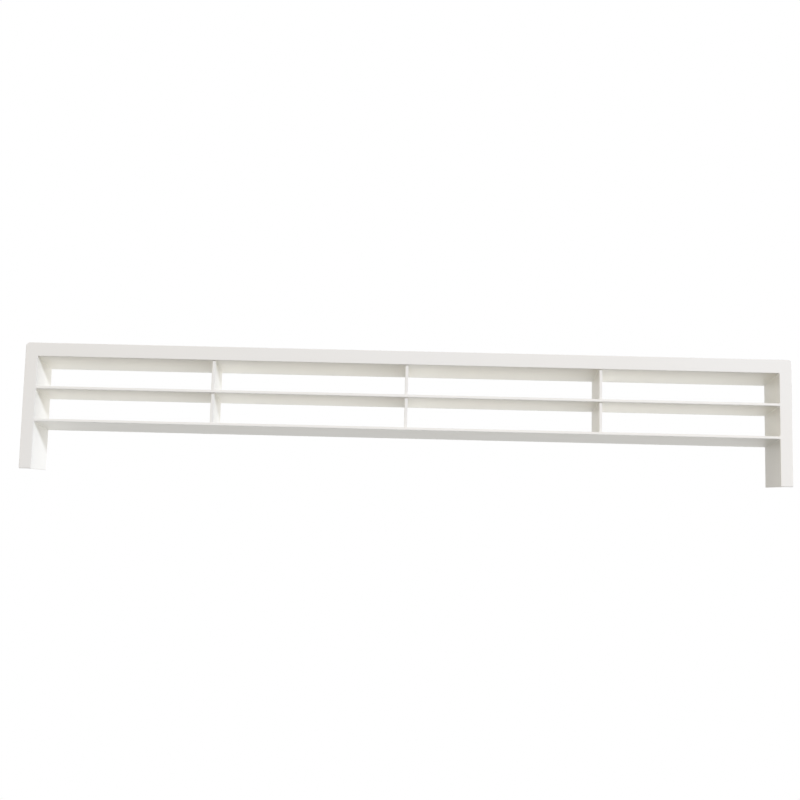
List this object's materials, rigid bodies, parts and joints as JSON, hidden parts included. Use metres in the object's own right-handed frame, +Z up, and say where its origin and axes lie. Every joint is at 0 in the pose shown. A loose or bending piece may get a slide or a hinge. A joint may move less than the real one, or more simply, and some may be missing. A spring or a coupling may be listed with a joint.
{
  "type": "plinth ventilation grille",
  "caption": "Long low one-piece plastic grille for a cabinet plinth: an upside-down U flange with a shallow box of open air cells behind it and legs that reach the floor.",
  "frame": {"origin": "on the floor under the feet, half way along the length and half way through the depth", "axes": "+X along the length, +Y from the front face back into the cabinet, +Z up"},
  "size_m": [0.545, 0.048, 0.0905],
  "materials": {
    "white_plastic": "satin white with a fine moulded grain"
  },
  "bodies": {
    "root": {"grille": "white_plastic"}
  },
  "joints": []
}
